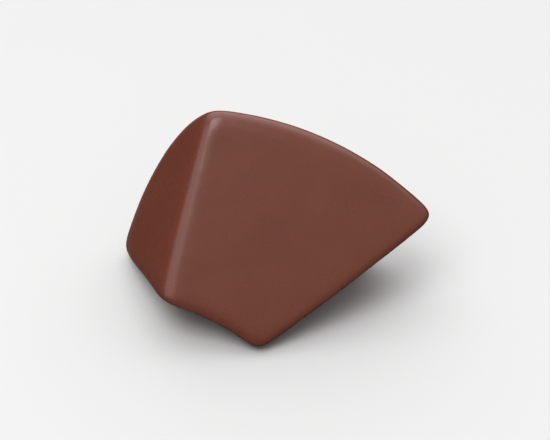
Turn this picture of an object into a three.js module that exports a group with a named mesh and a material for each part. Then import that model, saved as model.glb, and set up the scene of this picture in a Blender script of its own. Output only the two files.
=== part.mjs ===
// Chocolate-dipped apple bite: half of an apple wedge, cut across and coated all over in milk
// chocolate. Millimetres, +Z up. The bite rests on a flat side, and the origin is on that side,
// below the middle of the bite. The cut end leans back and faces -Y.
import * as THREE from 'three';
import { mergeVertices } from 'three/addons/utils/BufferGeometryUtils.js';

// Driving dimensions. All places are measured from the heart, a point inside the fruit.
const COAT = 1.5; // thickness of the chocolate over the fruit
const APPLE_RADIUS = 43.3; // a fairly large apple, from its core line to its skin
const APPLE_POLE = 22.35; // from the end cut to the apple's pole, along the core line
const CORE_LEFT = 13.45; // the core line crosses the end cut this far left of the heart
const CORE_BELOW = 29.2; // and this far below it, down the slope of the cut
const SEAT_DEPTH = 8.6; // from the heart down to the flat side that the bite rests on
const TOP_HEIGHT = 15; // from the heart up to the highest corner
const CROWN_RADIUS = 320; // the coat swells a little over each flat cut
// The coat ran down before it set, so low edges are rounder than high ones, but where the wet coat
// met the tray its edge is crisp. A square edge has a radius of about 2.4 times its softness.
const SOFTNESS = { top: 0.22, seat: 0.5 };
const SEAT_SOFTNESS = 0.18;
// Some edges are rounder, and each takes about this much of the sides that meet there
const FRONT_FILLET = { top: 2.2, seat: 4 }; // between the end cut and the left cut
const CORE_FILLET = 3; // all around the corer's cut
const SKIN_FILLET = 3.5; // all around the skin

// The flat knife cuts. Heading is the compass direction that a cut faces, 0 towards +X and 90
// towards +Y, tilt is how far it faces up, in degrees, and reach is its distance from the heart.
const END_CUT = { heading: -82.3, tilt: 38.1, reach: 6.55 };
const LEFT_CUT = { heading: -167.4, tilt: 26.5, reach: 11.45 };
const RIGHT_CUT = { heading: -35.8, tilt: -43.5, reach: 10.45 };
// The corer's cut, hollow about a line that runs along the core
const CORE_CUT = { heading: -150.8, tilt: -57.4, reach: 9.3, hollowRadius: 28.2 };
// From this far behind the heart the left cut curls back, with this radius
const LEFT_CURL = { behind: 8, radius: 35 };

// How finely the surface is divided
const SPACING = 1.05; // of the points along an edge, on average
const CORNER_CROWDING = 0.6; // from 0, evenly spaced points, towards 1, close together at corners
const RINGS = 9; // rings of points between the edges of a side and its middle
const RING_CROWDING = 1.9; // above 1, the rings lie closer together near the edges
const MIDDLE_STEPS = 200; // in the search for the middle of a side
const MIDDLE_STEP = 0.5; // the first of them, in millimetres
const RAY_LENGTH = 60; // longer than any way from the heart to the surface
const RAY_HALVINGS = 40;
const CORNER_GUESS = 15; // how far from the heart the search for a corner starts
const SEARCH_STEPS = 12;
const PROBE = 1e-4; // spacing for the slope of a distance
const TOLERANCE = 1e-3; // how far off a side a corner may be
const SEAT_SNAP = 0.02; // points this close to the tray lie flat on it

// A unit vector from a compass heading and a tilt
function direction({ heading, tilt }) {
  const turn = THREE.MathUtils.degToRad(heading);
  const rise = THREE.MathUtils.degToRad(tilt);
  const level = Math.cos(rise);
  return new THREE.Vector3(level * Math.cos(turn), level * Math.sin(turn), Math.sin(rise));
}

const coreLine = direction(END_CUT);

// ---- The sides of the coated bite. Each has a facing direction and a distance function, which
// is zero on the side, positive outside it and negative inside. ----

// A flat cut is a very large ball, so that its coated face is slightly crowned
function cutSide(cut) {
  const facing = direction(cut);
  const centre = facing.clone().multiplyScalar(cut.reach + COAT - CROWN_RADIUS);
  return { facing, distance: (point) => point.distanceTo(centre) - CROWN_RADIUS };
}

// The left cut is flat beside the end cut and curls back farther from it
function leftSide() {
  const { facing, distance: flatDistance } = cutSide(LEFT_CUT);
  const away = facing.clone().multiplyScalar(coreLine.dot(facing)).sub(coreLine).normalize();
  const distance = (point) => {
    const beyond = Math.max(point.dot(away) - LEFT_CURL.behind, 0);
    return flatDistance(point) + beyond ** 2 / (2 * LEFT_CURL.radius);
  };
  return { facing, distance };
}

// The corer's cut goes round a bar whose line is as near to the core's as can be
function coreSide(cut) {
  const facing = direction(cut);
  const line = coreLine.clone().addScaledVector(facing, -coreLine.dot(facing)).normalize();
  const radius = cut.hollowRadius - COAT;
  const centre = facing.clone().multiplyScalar(cut.reach + COAT + radius);
  const offset = new THREE.Vector3();
  const distance = (point) => {
    offset.subVectors(point, centre);
    return radius - offset.addScaledVector(line, -offset.dot(line)).length();
  };
  return { facing, distance };
}

// The skin is half of an apple: an ellipsoid about the core line
function skinSide() {
  const across = direction({ heading: END_CUT.heading + 90, tilt: 0 });
  const upSlope = coreLine.clone().cross(across);
  const centre = coreLine.clone().multiplyScalar(END_CUT.reach + COAT)
    .addScaledVector(across, -CORE_LEFT).addScaledVector(upSlope, -CORE_BELOW);
  const radius = APPLE_RADIUS + COAT;
  const pole = APPLE_POLE + COAT;
  const offset = new THREE.Vector3();
  const distance = (point) => {
    offset.subVectors(point, centre);
    const along = offset.dot(coreLine);
    const outSquared = offset.lengthSq() - along * along;
    const level = Math.sqrt(outSquared / radius ** 2 + along ** 2 / pole ** 2);
    const slope = Math.sqrt(outSquared / radius ** 4 + along ** 2 / pole ** 4) / level;
    return (level - 1) / slope;
  };
  return { facing: centre.clone().negate().normalize(), distance };
}

const seatSide = { facing: new THREE.Vector3(0, 0, -1), distance: (point) => -SEAT_DEPTH - point.z };
const sides = [
  cutSide(END_CUT), leftSide(), cutSide(RIGHT_CUT), coreSide(CORE_CUT), skinSide(), seatSide,
];

// ---- The rounded surface ----

// How far out a point lies of several sides at once, with the edges between them rounded
function softMeet(distances, softness) {
  const farthest = Math.max(...distances);
  const sum = distances.reduce((total, value) => total + Math.exp((value - farthest) / softness), 0);
  return farthest + softness * Math.log(sum);
}

// The same for two sides with a fillet between them, which leaves the rest of both sides alone
function filletMeet(one, other, breadth) {
  const within = Math.max(breadth - Math.abs(one - other), 0);
  return Math.max(one, other) + within ** 3 / (6 * breadth ** 2);
}

function biteDistance(point) {
  const height = THREE.MathUtils.clamp((point.z + SEAT_DEPTH) / (TOP_HEIGHT + SEAT_DEPTH), 0, 1);
  const sizeHere = (size) => THREE.MathUtils.lerp(size.seat, size.top, height);
  const [end, left, right, core, skin, seat] = sides.map((side) => side.distance(point));
  const front = filletMeet(end, left, sizeHere(FRONT_FILLET));
  const flatCuts = softMeet([front, right], sizeHere(SOFTNESS));
  const cuts = filletMeet(flatCuts, core, CORE_FILLET);
  const coated = filletMeet(cuts, skin, SKIN_FILLET);
  return softMeet([coated, seat], SEAT_SOFTNESS);
}

// The point of the rounded surface that lies in the same direction from the heart
function ontoSurface(place) {
  const ray = place.clone().normalize();
  const point = new THREE.Vector3();
  let inside = 0;
  let outside = RAY_LENGTH;
  for (let step = 0; step < RAY_HALVINGS; step += 1) {
    const middle = (inside + outside) / 2;
    point.copy(ray).multiplyScalar(middle);
    if (biteDistance(point) > 0) outside = middle;
    else inside = middle;
  }
  return point;
}

// ---- The corners and edges, where the sides would meet if they were sharp ----

function slopeOf(distance, point) {
  const here = distance(point);
  return ['x', 'y', 'z'].map((axis) => {
    const probe = point.clone();
    probe[axis] += PROBE;
    return (distance(probe) - here) / PROBE;
  });
}

// The point where three distances are zero, searched for from a first guess
function meetingPoint(guess, distances) {
  const point = guess.clone();
  for (let step = 0; step < SEARCH_STEPS; step += 1) {
    const slopes = new THREE.Matrix3().set(...distances.flatMap((distance) => slopeOf(distance, point)));
    const misses = new THREE.Vector3(...distances.map((distance) => distance(point)));
    point.sub(misses.applyMatrix3(slopes.invert()));
  }
  return point;
}

// Each three sides that meet at a point which no other side cuts off
function findCorners() {
  const corners = [];
  const addCorner = (three) => {
    const guess = new THREE.Vector3();
    for (const side of three) guess.add(side.facing);
    const place = meetingPoint(guess.setLength(CORNER_GUESS), three.map((side) => side.distance));
    const met = three.every((side) => Math.abs(side.distance(place)) < TOLERANCE);
    const kept = sides.every((side) => side.distance(place) < TOLERANCE);
    if (met && kept) corners.push({ place, on: three });
  };
  sides.forEach((first, i) => {
    sides.slice(0, i).forEach((second, j) => {
      for (const third of sides.slice(0, j)) addCorner([first, second, third]);
    });
  });
  return corners;
}

// Points along the edge between two sides, from a corner up to, but not with, the next
function edgePoints(side, from, to) {
  const other = from.on.find((next) => next !== side && to.on.includes(next));
  const along = to.place.clone().sub(from.place);
  const steps = Math.ceil(along.length() / SPACING);
  return Array.from({ length: steps }, (_, step) => {
    const turn = 2 * Math.PI * step / steps;
    const share = (turn - CORNER_CROWDING * Math.sin(turn)) / (2 * Math.PI);
    const guess = from.place.clone().lerp(to.place, share);
    const station = (point) => point.clone().sub(guess).dot(along) / along.length();
    return meetingPoint(guess, [side.distance, other.distance, station]);
  });
}

function meanOf(places) {
  const sum = new THREE.Vector3();
  for (const place of places) sum.add(place);
  return sum.divideScalar(places.length);
}

// The outline of a side, anticlockwise as seen from outside
function outlineOf(side, corners) {
  const own = corners.filter((corner) => corner.on.includes(side));
  const middle = meanOf(own.map((corner) => corner.place));
  const right = new THREE.Vector3(0, 1, 0).cross(side.facing).normalize();
  const up = side.facing.clone().cross(right);
  const angle = (corner) => {
    const offset = corner.place.clone().sub(middle);
    return Math.atan2(offset.dot(up), offset.dot(right));
  };
  own.sort((one, two) => angle(one) - angle(two));
  return own.flatMap((corner, i) => edgePoints(side, corner, own[(i + 1) % own.length]));
}

// ---- The mesh: each side is a patch of rings, from its outline in to its middle ----

// A place on a side, well inside the lines of all pieces of its outline, also where it is hollow
function middleOf(side, outline) {
  const middle = meanOf(outline);
  for (let step = 0; step < MIDDLE_STEPS; step += 1) {
    const rooms = outline.map((place, i) => {
      const piece = outline[(i + 1) % outline.length].clone().sub(place);
      const inward = side.facing.clone().cross(piece).normalize();
      return { inward, room: middle.clone().sub(place).dot(inward) };
    });
    const tightest = rooms.reduce((least, next) => (next.room < least.room ? next : least));
    middle.addScaledVector(tightest.inward, MIDDLE_STEP * (1 - step / MIDDLE_STEPS));
    middle.addScaledVector(side.facing, -side.distance(middle));
  }
  return middle;
}

function patchTriangles(side, corners) {
  const outline = outlineOf(side, corners);
  const middle = middleOf(side, outline);
  const rings = Array.from({ length: RINGS }, (_, ring) => {
    const share = (ring / RINGS) ** RING_CROWDING;
    return outline.map((place) => ontoSurface(place.clone().lerp(middle, share)));
  });
  const centre = ontoSurface(middle);
  const triangles = [];
  outline.forEach((_, i) => {
    const next = (i + 1) % outline.length;
    for (let ring = 1; ring < RINGS; ring += 1) {
      const [outer, inner] = [rings[ring - 1], rings[ring]];
      triangles.push([outer[i], outer[next], inner[i]], [inner[i], outer[next], inner[next]]);
    }
    triangles.push([rings[RINGS - 1][i], rings[RINGS - 1][next], centre]);
  });
  return triangles;
}

function biteGeometry() {
  const corners = findCorners();
  const triangles = sides.flatMap((side) => patchTriangles(side, corners));
  for (const point of triangles.flat()) if (point.z < SEAT_SNAP - SEAT_DEPTH) point.z = -SEAT_DEPTH;
  const positions = triangles.flat().flatMap((point) => point.toArray());
  const loose = new THREE.BufferGeometry();
  loose.setAttribute('position', new THREE.Float32BufferAttribute(positions, 3));
  const geometry = mergeVertices(loose, TOLERANCE);
  geometry.computeBoundingBox();
  const middle = geometry.boundingBox.getCenter(new THREE.Vector3());
  geometry.translate(-middle.x, -middle.y, SEAT_DEPTH);
  geometry.computeVertexNormals();
  return geometry;
}

function bite() {
  const chocolate = new THREE.MeshStandardMaterial({ color: 0x5f3022, roughness: 0.42, metalness: 0 });
  const mesh = new THREE.Mesh(biteGeometry(), chocolate);
  mesh.name = 'dipped_bite';
  return mesh;
}

const part = new THREE.Group();
part.add(bite());
export default part;
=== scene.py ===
# Chocolate-dipped apple bite: the looks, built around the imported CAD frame. Metres, +Z up, but
# the sizes of the bite's surface are in millimetres, as in the CAD.
import math

import bmesh
import bpy
import numpy as np
from mathutils import Matrix, Vector, noise


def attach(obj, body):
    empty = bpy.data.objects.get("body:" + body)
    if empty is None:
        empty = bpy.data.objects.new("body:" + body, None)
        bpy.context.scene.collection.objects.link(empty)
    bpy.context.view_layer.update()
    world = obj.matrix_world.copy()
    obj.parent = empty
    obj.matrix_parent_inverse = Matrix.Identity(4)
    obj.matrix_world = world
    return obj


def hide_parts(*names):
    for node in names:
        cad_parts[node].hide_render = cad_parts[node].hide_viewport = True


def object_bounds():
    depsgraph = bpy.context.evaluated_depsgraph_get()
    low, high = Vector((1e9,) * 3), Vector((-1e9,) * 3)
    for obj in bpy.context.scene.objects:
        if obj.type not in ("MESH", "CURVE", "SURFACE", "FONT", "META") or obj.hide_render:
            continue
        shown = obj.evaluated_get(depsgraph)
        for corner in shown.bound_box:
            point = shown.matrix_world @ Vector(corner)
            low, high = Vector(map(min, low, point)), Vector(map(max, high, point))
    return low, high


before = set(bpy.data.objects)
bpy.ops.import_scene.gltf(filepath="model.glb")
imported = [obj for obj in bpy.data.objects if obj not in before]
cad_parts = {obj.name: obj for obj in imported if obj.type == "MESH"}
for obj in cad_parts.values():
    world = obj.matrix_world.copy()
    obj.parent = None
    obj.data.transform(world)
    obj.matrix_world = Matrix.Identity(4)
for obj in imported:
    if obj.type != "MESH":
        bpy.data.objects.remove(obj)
cad_low, cad_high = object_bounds()

MM = 0.001

# ---- The coat's surface, in millimetres from the heart of the fruit ----

COAT = 1.5  # thickness of the chocolate over the fruit
APPLE_RADIUS = 43.3  # from the core line to the skin
APPLE_POLE = 22.35  # from the end cut to the apple's pole, along the core line
CORE_LEFT = 13.45  # the core line crosses the end cut this far left of the heart
CORE_BELOW = 29.2  # and this far below it, down the slope of the cut
SEAT_DEPTH = 8.6  # from the heart down to the side that the bite rests on
TOP_HEIGHT = 15.0  # from the heart up to the highest corner
CROWN_RADIUS = 320.0  # the coat swells a little over each flat cut
HEART = np.array([-1.35, 3.73, SEAT_DEPTH])  # its place in the frame
# Each cut: the heading and tilt it faces, in degrees, and its reach from the heart
END_CUT = (-82.3, 38.1, 6.55)
LEFT_CUT = (-167.4, 26.5, 11.45)
RIGHT_CUT = (-35.8, -43.5, 10.45)
CORE_CUT = (-150.8, -57.4, 9.3)
CORE_HOLLOW = 28.2  # radius of the corer's cut
# From this far behind the heart the left cut curls back, with this radius
LEFT_CURL = (8.0, 35.0)
# Sizes of the rounded edges. A pair is at the top and at the seat: the coat ran together low down.
SOFTNESS = (0.22, 0.5)
FRONT_FILLET = (2.2, 4.0)  # between the end cut and the left cut
CORE_FILLET = 3.0  # all around the corer's cut
SKIN_FILLET = 3.5  # all around the skin
SEAT_SOFTNESS = 0.18

CUTS_PER_EDGE = 3
WELD = 1e-7  # metres
# Along the ray from the heart to a point of the CAD mesh, the surface lies between these shares
RAY_SHARES = (0.85, 1.15)
RAY_HALVINGS = 18
NOISE_SEED = Vector((17.3, -4.1, 9.7))
NOISE_SHIFT = 7.0  # between one relief and the next
# Relief of the set chocolate: height and wavelength, in millimetres
RELIEF = ((0.09, 11.0), (0.035, 4.0), (0.008, 1.3))

# The chocolate: linear colours of its darker and lighter clouds, and its range of roughness
CHOCOLATE_DARK = (0.143, 0.0385, 0.0215)
CHOCOLATE_LIGHT = (0.156, 0.0430, 0.0245)
ROUGHNESS = (0.24, 0.30)
# Wavelength in millimetres, and detail, of the clouds, of the haze in the gloss and of the grain
CLOUDS = (9.0, 3.0)
HAZE = (4.0, 4.0)
GRAIN = (0.7, 3.0)
NOISE_RANGE = (0.3, 0.7)  # nearly all of the noise lies in it
GRAIN_HEIGHT = 0.02  # millimetres
GRAIN_STRENGTH = 0.35
COCOA_BUTTER_IOR = 1.48

# ---- Camera and light ----

CAMERA_HEADING = 0.0
CAMERA_ELEVATION = 40.0
LENS = 180.0
SENSOR = 36.0
FILL = 0.56  # share of the picture's width that the bite takes
FLOOR_HALF = 3.0  # half of its width
FLOOR_COLOUR = (0.63, 0.63, 0.63)
FLOOR_ROUGHNESS = 0.9
BACKDROP = 0.88  # what the camera sees beyond the floor
WORLD_STRENGTH = (0.0, 0.57)  # near the horizon and overhead
WORLD_RISE = (0.15, 0.6)  # sine of the elevation where the first ends and the second starts
# Soft glows in the studio: where each is, the cosines of the angles from there at which it fades
# out and at which it is full, and its strength
BEHIND = {"toward": (0.0, 0.64, 0.77), "edge": 0.55, "middle": 0.9, "strength": 1.5}
BELOW = {"toward": (-0.25, 0.78, -0.57), "edge": 0.92, "middle": 0.97, "strength": 0.15}
KEY_LIGHT = {"toward": (-0.24, -0.35, 0.905), "distance": 1.0, "size": (0.60, 0.60), "power": 5.12}
# A long soft card that only the glossy coat sees: it lights up the edge between two faces
LEFT_CARD = {"toward": (-0.83, -0.43, 0.35), "along": (-0.501, 0.737, -0.451), "distance": 0.8,
             "size": (0.90, 0.70), "power": 2.3}


def direction(azimuth, elevation):
    """From the object: azimuth 0 is towards -Y, where the camera stands, and 90 towards +X."""
    turn, rise = math.radians(azimuth), math.radians(elevation)
    return Vector((math.sin(turn) * math.cos(rise), -math.cos(turn) * math.cos(rise), math.sin(rise)))


# ---- The coat ----

def facing(cut):
    turn, rise = math.radians(cut[0]), math.radians(cut[1])
    return np.array([math.cos(rise) * math.cos(turn), math.cos(rise) * math.sin(turn), math.sin(rise)])


def length(vectors):
    return np.sqrt((vectors ** 2).sum(axis=-1))


def cut_distance(points, cut):
    centre = facing(cut) * (cut[2] + COAT - CROWN_RADIUS)
    return length(points - centre) - CROWN_RADIUS


def left_distance(points):
    out, core_line = facing(LEFT_CUT), facing(END_CUT)
    away = out * core_line.dot(out) - core_line
    behind, radius = LEFT_CURL
    beyond = np.maximum(points @ (away / length(away)) - behind, 0)
    return cut_distance(points, LEFT_CUT) + beyond ** 2 / (2 * radius)


def core_distance(points):
    out, core_line = facing(CORE_CUT), facing(END_CUT)
    line = core_line - out * core_line.dot(out)
    line /= length(line)
    radius = CORE_HOLLOW - COAT
    offset = points - out * (CORE_CUT[2] + COAT + radius)
    along = offset @ line
    return radius - length(offset - along[:, None] * line)


def skin_distance(points):
    core_line = facing(END_CUT)
    across = facing((END_CUT[0] + 90, 0))
    up_slope = np.cross(core_line, across)
    centre = core_line * (END_CUT[2] + COAT) - across * CORE_LEFT - up_slope * CORE_BELOW
    radius, pole = APPLE_RADIUS + COAT, APPLE_POLE + COAT
    offset = points - centre
    along = offset @ core_line
    out_squared = (offset ** 2).sum(axis=1) - along ** 2
    level = np.sqrt(out_squared / radius ** 2 + along ** 2 / pole ** 2)
    slope = np.sqrt(out_squared / radius ** 4 + along ** 2 / pole ** 4) / level
    return (level - 1) / slope


def soft_meet(distances, softness):
    farthest = np.max(distances, axis=0)
    total = sum(np.exp((distance - farthest) / softness) for distance in distances)
    return farthest + softness * np.log(total)


def fillet_meet(one, other, breadth):
    within = np.maximum(breadth - np.abs(one - other), 0)
    return np.maximum(one, other) + within ** 3 / (6 * breadth ** 2)


def blend(top_and_seat, height):
    top, seat = top_and_seat
    return seat + (top - seat) * height


def bite_distance(points):
    """How far outside the rounded surface of the coat each point lies."""
    height = np.clip((points[:, 2] + SEAT_DEPTH) / (TOP_HEIGHT + SEAT_DEPTH), 0, 1)
    front = fillet_meet(cut_distance(points, END_CUT), left_distance(points),
                        blend(FRONT_FILLET, height))
    flat_cuts = soft_meet([front, cut_distance(points, RIGHT_CUT)], blend(SOFTNESS, height))
    cuts = fillet_meet(flat_cuts, core_distance(points), CORE_FILLET)
    coated = fillet_meet(cuts, skin_distance(points), SKIN_FILLET)
    return soft_meet([coated, -SEAT_DEPTH - points[:, 2]], SEAT_SOFTNESS)


def onto_surface(points):
    """Moves each point along its ray from the heart onto the rounded surface."""
    inside, outside = (np.full(len(points), share) for share in RAY_SHARES)
    for _ in range(RAY_HALVINGS):
        middle = (inside + outside) / 2
        out = bite_distance(points * middle[:, None]) > 0
        outside = np.where(out, middle, outside)
        inside = np.where(out, inside, middle)
    return points * inside[:, None]


def fine_copy(source, name):
    """The CAD mesh, divided more finely."""
    fine = bmesh.new()
    fine.from_mesh(source.data)
    bmesh.ops.remove_doubles(fine, verts=fine.verts, dist=WELD)
    bmesh.ops.subdivide_edges(fine, edges=fine.edges, cuts=CUTS_PER_EDGE, use_grid_fill=True)
    mesh = bpy.data.meshes.new(name)
    fine.to_mesh(mesh)
    fine.free()
    piece = bpy.data.objects.new(name, mesh)
    bpy.context.scene.collection.objects.link(piece)
    return piece


def read_vectors(collection, field):
    values = np.empty(len(collection) * 3)
    collection.foreach_get(field, values)
    return values.reshape(-1, 3)


def noise_at(points, wavelength, shift):
    place = NOISE_SEED + Vector((shift, 0.0, 0.0))
    return np.array([noise.noise(Vector(p) / wavelength + place) for p in points])


def shape_coat(piece):
    mesh = piece.data
    points = onto_surface(read_vectors(mesh.vertices, "co") / MM - HEART) + HEART
    mesh.vertices.foreach_set("co", (points * MM).ravel())
    mesh.update()
    normals = read_vectors(mesh.vertex_normals, "vector")
    for count, (height, wavelength) in enumerate(RELIEF):
        points += normals * (height * noise_at(points, wavelength, NOISE_SHIFT * count))[:, None]
    points[:, 2] = np.maximum(points[:, 2], 0.0)
    mesh.vertices.foreach_set("co", (points * MM).ravel())
    mesh.update()


def add_noise(nodes, links, coordinates, wavelength, detail):
    texture = nodes.new("ShaderNodeTexNoise")
    texture.inputs["Scale"].default_value = 1 / (wavelength * MM)
    texture.inputs["Detail"].default_value = detail
    links.new(coordinates, texture.inputs["Vector"])
    return texture.outputs["Fac"]


def map_range(nodes, links, source, low, high, to_low, to_high):
    node = nodes.new("ShaderNodeMapRange")
    node.inputs["From Min"].default_value = low
    node.inputs["From Max"].default_value = high
    node.inputs["To Min"].default_value = to_low
    node.inputs["To Max"].default_value = to_high
    links.new(source, node.inputs["Value"])
    return node.outputs["Result"]


def chocolate_material():
    material = bpy.data.materials.new("milk_chocolate")
    material.use_nodes = True
    nodes, links = material.node_tree.nodes, material.node_tree.links
    shader = nodes["Principled BSDF"]
    place = nodes.new("ShaderNodeTexCoord").outputs["Object"]

    clouds = add_noise(nodes, links, place, *CLOUDS)
    colours = nodes.new("ShaderNodeValToRGB")
    stops = zip(colours.color_ramp.elements, NOISE_RANGE, (CHOCOLATE_DARK, CHOCOLATE_LIGHT))
    for stop, position, colour in stops:
        stop.position = position
        stop.color = (*colour, 1)
    links.new(clouds, colours.inputs["Fac"])
    links.new(colours.outputs["Color"], shader.inputs["Base Color"])

    haze = add_noise(nodes, links, place, *HAZE)
    roughness = map_range(nodes, links, haze, *NOISE_RANGE, *ROUGHNESS)
    links.new(roughness, shader.inputs["Roughness"])

    grain = add_noise(nodes, links, place, *GRAIN)
    bump = nodes.new("ShaderNodeBump")
    bump.inputs["Strength"].default_value = GRAIN_STRENGTH
    bump.inputs["Distance"].default_value = GRAIN_HEIGHT * MM
    links.new(grain, bump.inputs["Height"])
    links.new(bump.outputs["Normal"], shader.inputs["Normal"])
    shader.inputs["IOR"].default_value = COCOA_BUTTER_IOR
    return material


def make_coat():
    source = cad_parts["dipped_bite"]
    piece = fine_copy(source, "chocolate_coat")
    shape_coat(piece)
    piece.data.materials.append(chocolate_material())
    piece.data.polygons.foreach_set("use_smooth", [True] * len(piece.data.polygons))
    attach(piece, "root")
    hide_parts("dipped_bite")


# ---- The stage ----

def make_floor():
    mesh = bpy.data.meshes.new("floor")
    half = FLOOR_HALF
    corners = [(-half, -half, 0), (half, -half, 0), (half, half, 0), (-half, half, 0)]
    mesh.from_pydata(corners, [], [(0, 1, 2, 3)])
    floor = bpy.data.objects.new("floor", mesh)
    bpy.context.scene.collection.objects.link(floor)
    material = bpy.data.materials.new("pale_floor")
    material.use_nodes = True
    shader = material.node_tree.nodes["Principled BSDF"]
    shader.inputs["Base Color"].default_value = (*FLOOR_COLOUR, 1)
    shader.inputs["Roughness"].default_value = FLOOR_ROUGHNESS
    shader.inputs["Specular IOR Level"].default_value = 0.0
    mesh.materials.append(material)
    floor.visible_glossy = False


def area_light(name, toward, distance, size, power, along=(1, 0, 0)):
    data = bpy.data.lights.new(name, "AREA")
    data.shape = "RECTANGLE"
    data.size, data.size_y = size
    data.energy = power
    light = bpy.data.objects.new(name, data)
    back = Vector(toward).normalized()
    up = back.cross(Vector(along)).normalized()
    light.location = (cad_low + cad_high) / 2 + back * distance
    light.rotation_mode = "QUATERNION"
    light.rotation_quaternion = Matrix((up.cross(back), up, back)).transposed().to_quaternion()
    bpy.context.scene.collection.objects.link(light)
    return light


def make_world():
    """A soft studio: dark near the horizon and brighter overhead, with two glows at the back."""
    world = bpy.data.worlds.new("studio")
    bpy.context.scene.world = world
    world.use_nodes = True
    nodes, links = world.node_tree.nodes, world.node_tree.links
    background = nodes["Background"]
    toward = nodes.new("ShaderNodeTexCoord").outputs["Generated"]
    split = nodes.new("ShaderNodeSeparateXYZ")
    links.new(toward, split.inputs[0])
    total = map_range(nodes, links, split.outputs["Z"], *WORLD_RISE, *WORLD_STRENGTH)
    for glow in (BEHIND, BELOW):
        against = nodes.new("ShaderNodeVectorMath")
        against.operation = "DOT_PRODUCT"
        links.new(toward, against.inputs[0])
        against.inputs[1].default_value = Vector(glow["toward"]).normalized()
        share = map_range(nodes, links, against.outputs["Value"],
                          glow["edge"], glow["middle"], 0.0, glow["strength"])
        both = nodes.new("ShaderNodeMath")
        links.new(total, both.inputs[0])
        links.new(share, both.inputs[1])
        total = both.outputs["Value"]
    path = nodes.new("ShaderNodeLightPath")
    mix = nodes.new("ShaderNodeMix")
    mix.data_type = "FLOAT"
    links.new(path.outputs["Is Camera Ray"], mix.inputs["Factor"])
    links.new(total, mix.inputs["A"])
    mix.inputs["B"].default_value = BACKDROP
    links.new(mix.outputs["Result"], background.inputs["Strength"])
    background.inputs["Color"].default_value = (1, 1, 1, 1)


def make_camera(low, high):
    data = bpy.data.cameras.new("camera")
    data.lens = LENS
    data.sensor_width = SENSOR
    camera = bpy.data.objects.new("camera", data)
    bpy.context.scene.collection.objects.link(camera)
    middle = (low + high) / 2
    width = (high.x - low.x) / FILL
    back = direction(CAMERA_HEADING, CAMERA_ELEVATION)
    camera.location = middle + back * (width * LENS / SENSOR)
    camera.rotation_mode = "QUATERNION"
    camera.rotation_quaternion = (-back).to_track_quat("-Z", "Y")
    bpy.context.scene.camera = camera


make_coat()
make_floor()
make_world()
area_light("key_light", **KEY_LIGHT)
area_light("left_card", **LEFT_CARD).visible_diffuse = False
make_camera(cad_low, cad_high)
bpy.context.scene.view_settings.view_transform = "Standard"
